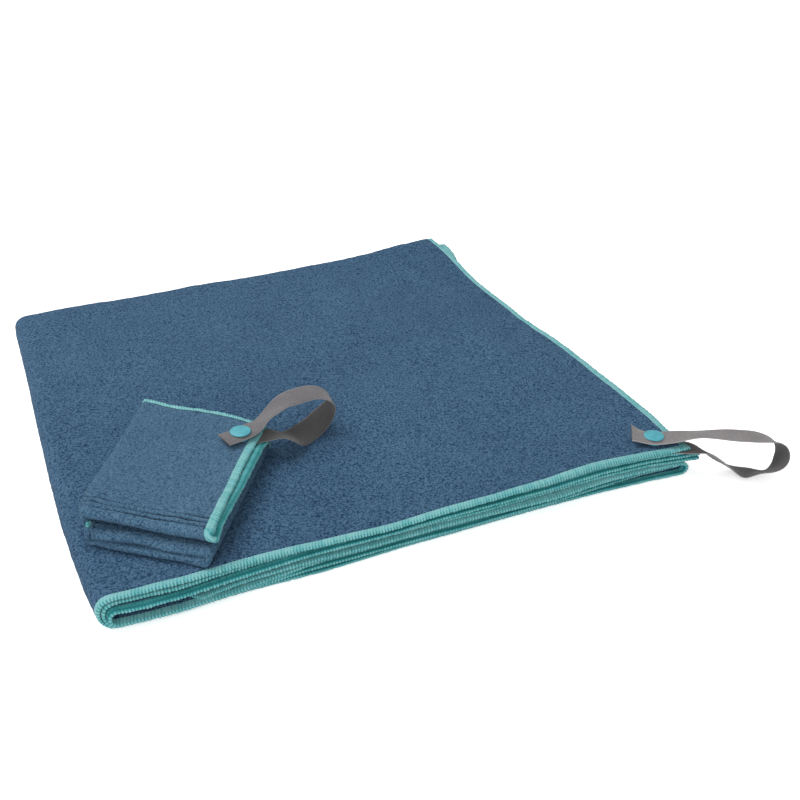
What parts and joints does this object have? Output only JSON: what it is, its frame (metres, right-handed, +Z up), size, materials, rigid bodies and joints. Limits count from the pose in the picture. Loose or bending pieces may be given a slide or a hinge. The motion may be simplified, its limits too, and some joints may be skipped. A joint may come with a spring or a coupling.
{
  "type": "quick dry towel set",
  "caption": "Folded bath towel with a matching folded face towel on top; overlocked edges, and each towel has a hanging loop that closes with a snap button.",
  "frame": {"origin": "centre of the folded bath towel's 356 by 358 mm footprint, on the plane it rests on", "axes": "+Z up through the stack; -Y is the side with the sewn edges; -X is the side with the last fold"},
  "size_m": [0.4137, 0.388, 0.0466],
  "materials": {
    "bath_fabric": "short looped terry, matt",
    "face_fabric": "short looped terry, matt",
    "edge_thread": "overlocked polyester thread, slight sheen",
    "strap_webbing": "flat knitted elastic webbing, matt",
    "snap_plastic": "moulded resin, satin"
  },
  "bodies": {
    "bath_lower": {"bath_cloth_lower": "bath_fabric", "bath_edge_lower": "edge_thread"},
    "bath_upper": {"bath_cloth_upper": "bath_fabric", "bath_edge_upper": "edge_thread", "bath_snap_stud": "snap_plastic", "bath_snap_back_cap": "snap_plastic"},
    "bath_loop": {"bath_strap_lower_arm": "strap_webbing"},
    "bath_loop_end": {"bath_strap_upper_arm": "strap_webbing", "bath_snap_cap": "snap_plastic", "bath_snap_socket": "snap_plastic"},
    "face_lower": {"face_cloth_lower": "face_fabric", "face_edge_lower": "edge_thread"},
    "face_upper": {"face_cloth_upper": "face_fabric", "face_edge_upper": "edge_thread", "face_snap_stud": "snap_plastic", "face_snap_back_cap": "snap_plastic"},
    "face_loop": {"face_strap_lower_arm": "strap_webbing"},
    "face_loop_end": {"face_strap_upper_arm": "strap_webbing", "face_snap_cap": "snap_plastic", "face_snap_socket": "snap_plastic"}
  },
  "joints": [
    {"name": "bath_unfold", "type": "hinge", "parent": "bath_lower", "child": "bath_upper", "pos_m": [-0.16855, 0, 0.00945], "axis": [0, -1, 0], "range_deg": [0, 40]},
    {"name": "bath_loop_swing", "type": "hinge", "parent": "bath_upper", "child": "bath_loop", "pos_m": [0.1615, -0.1645, 0.0189], "axis": [0, 0, 1], "range_deg": [-20, 20]},
    {"name": "bath_loop_open", "type": "hinge", "parent": "bath_loop", "child": "bath_loop_end", "pos_m": [0.21891, -0.18946, 0.02255], "axis": [0.3987, 0.9171, 0], "range_deg": [0, 35]},
    {"name": "face_lift", "type": "slide", "parent": "bath_upper", "child": "face_lower", "axis": [0, 0, 1], "range_m": [0, 0.15]},
    {"name": "face_unfold", "type": "hinge", "parent": "face_lower", "child": "face_upper", "pos_m": [-0.1715, -0.125, 0.0273], "axis": [-0.4507, -0.8927, 0], "range_deg": [0, 150]},
    {"name": "face_loop_swing", "type": "hinge", "parent": "face_upper", "child": "face_loop", "pos_m": [-0.0745, -0.0865, 0.0356], "axis": [0, 0, 1], "range_deg": [-15, 15]},
    {"name": "face_loop_open", "type": "hinge", "parent": "face_loop", "child": "face_loop_end", "pos_m": [-0.01973, -0.06637, 0.04355], "axis": [-0.3338, 0.9426, 0], "range_deg": [0, 35]}
  ]
}
